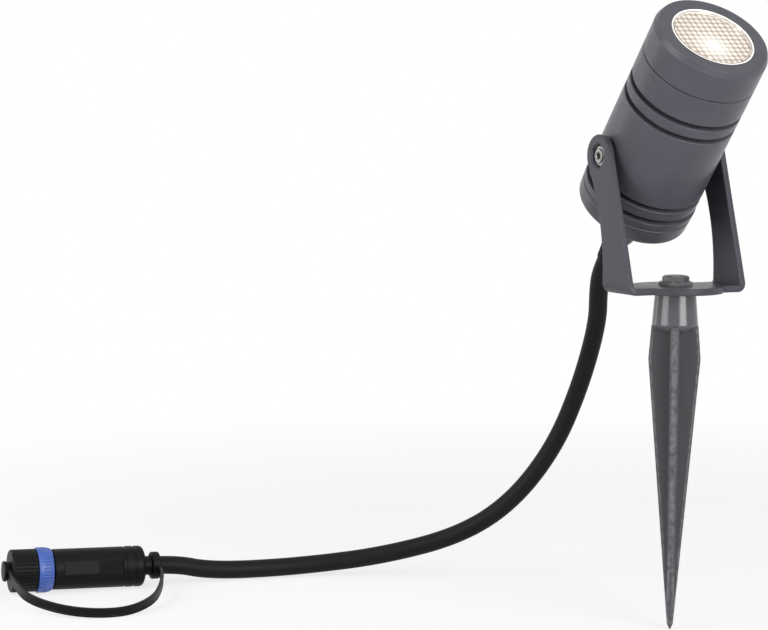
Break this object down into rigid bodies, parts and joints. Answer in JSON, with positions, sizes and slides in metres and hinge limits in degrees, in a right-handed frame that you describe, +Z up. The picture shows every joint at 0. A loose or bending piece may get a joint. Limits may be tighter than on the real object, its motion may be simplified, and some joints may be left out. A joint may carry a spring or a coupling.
{
  "type": "garden spike spotlight",
  "caption": "Garden spotlight: a round lamp head that tilts in a U-shaped bracket, which swivels on a ground spike, with a rubber cord to a capped weatherproof plug.",
  "frame": {"origin": "on the ground spike's axis at the ground line, where the collar meets the blades' shoulders", "axes": "+Z up along the spike, X along the head's tilt axis, the head leans forward to -Y and the cord leaves to the rear"},
  "size_m": [0.2716, 0.2354, 0.2676],
  "materials": {
    "lamp_coat": "anthracite powder coat on cast aluminium, satin",
    "bracket_coat": "anthracite powder coat on bent sheet, satin",
    "spike_plastic": "dark grey moulded nylon, semi-gloss",
    "insert_brass": "turned brass",
    "bolt_coat": "dark zinc-flake coated steel, satin",
    "screw_steel": "stainless steel, dulled",
    "washer_nylon": "black nylon, matt",
    "front_glass": "clear tempered glass, polished",
    "lens_clear": "clear moulded optic with a pillowed face",
    "seal_rubber": "black silicone, matt",
    "holder_white": "white moulded plastic, matt",
    "pad_grey": "grey heat-conducting pad, matt",
    "board_metal": "white-masked metal-core board",
    "chip_phosphor": "yellow phosphor under clear silicone",
    "driver_resin": "black potting resin, satin",
    "lead_insulation": "coloured silicone insulation, satin",
    "gland_nylon": "black nylon, satin",
    "relief_rubber": "black flexible plastic, satin",
    "cord_rubber": "black rubber sheath, satin",
    "plug_shell": "black moulded nylon, satin",
    "contact_brass": "plated brass",
    "ring_blue": "blue moulded nylon, satin",
    "cap_shell": "black moulded plastic, satin",
    "strap_rubber": "black soft plastic, satin"
  },
  "bodies": {
    "spike_base": {"spike": "spike_plastic", "threaded_insert": "insert_brass", "base_bolt": "bolt_coat", "hex_plate": "bolt_coat"},
    "bracket": {"bracket": "bracket_coat", "supply_cord": "cord_rubber", "plug_body": "plug_shell", "contact_insert": "plug_shell", "contact_pin_live": "contact_brass", "contact_pin_neutral": "contact_brass", "contact_pin_earth": "contact_brass", "plug_seal": "seal_rubber"},
    "head": {"head_barrel": "lamp_coat", "front_bezel": "lamp_coat", "bezel_seal": "seal_rubber", "glass_gasket": "seal_rubber", "front_glass": "front_glass", "pillow_lens": "lens_clear", "collimator_lens": "lens_clear", "lens_holder": "holder_white", "thermal_pad": "pad_grey", "led_board": "board_metal", "led_chip": "chip_phosphor", "driver_block": "driver_resin", "lead_supply": "lead_insulation", "lead_return": "lead_insulation", "rear_cap": "lamp_coat", "rear_seal": "seal_rubber", "gland_body": "gland_nylon", "gland_seal": "seal_rubber", "gland_nut": "gland_nylon", "strain_relief": "relief_rubber", "cord_tail": "cord_rubber", "tilt_screw_left": "screw_steel", "tilt_screw_right": "screw_steel", "tilt_washer_left": "washer_nylon", "tilt_washer_right": "washer_nylon"},
    "locking_ring": {"locking_ring": "ring_blue"},
    "cap_strap": {"cap_strap": "strap_rubber"},
    "dust_cap": {"dust_cap": "cap_shell", "cap_seal": "seal_rubber", "cap_button": "cap_shell"}
  },
  "joints": [
    {"name": "swivel", "type": "hinge", "parent": "spike_base", "child": "bracket", "pos_m": [0, 0, 0.0155], "axis": [0, 0, 1], "range_deg": [-90, 90]},
    {"name": "tilt", "type": "hinge", "parent": "bracket", "child": "head", "pos_m": [0, 0.0169, 0.0714], "axis": [1, 0, 0], "range_deg": [-25, 65], "deforming": ["supply_cord"]},
    {"name": "ring_turn", "type": "hinge", "parent": "bracket", "child": "locking_ring", "pos_m": [-0.22267, 0.18107, -0.12061], "axis": [-0.9943, 0.1045, 0.0218], "continuous": true},
    {"name": "cap_travel", "type": "slide", "parent": "bracket", "child": "cap_strap", "axis": [-0.9943, 0.1045, 0.0218], "range_m": [0, 0.0039], "deforming": ["cap_strap"]},
    {"name": "cap_turn", "type": "hinge", "parent": "cap_strap", "child": "dust_cap", "pos_m": [-0.23212, 0.18206, -0.1204], "axis": [-0.9943, 0.1045, 0.0218], "range_deg": [0, 1081]}
  ],
  "couplings": [
    {"joint": "cap_turn", "follows": "cap_travel", "rad_per_m": 4833.2}
  ]
}
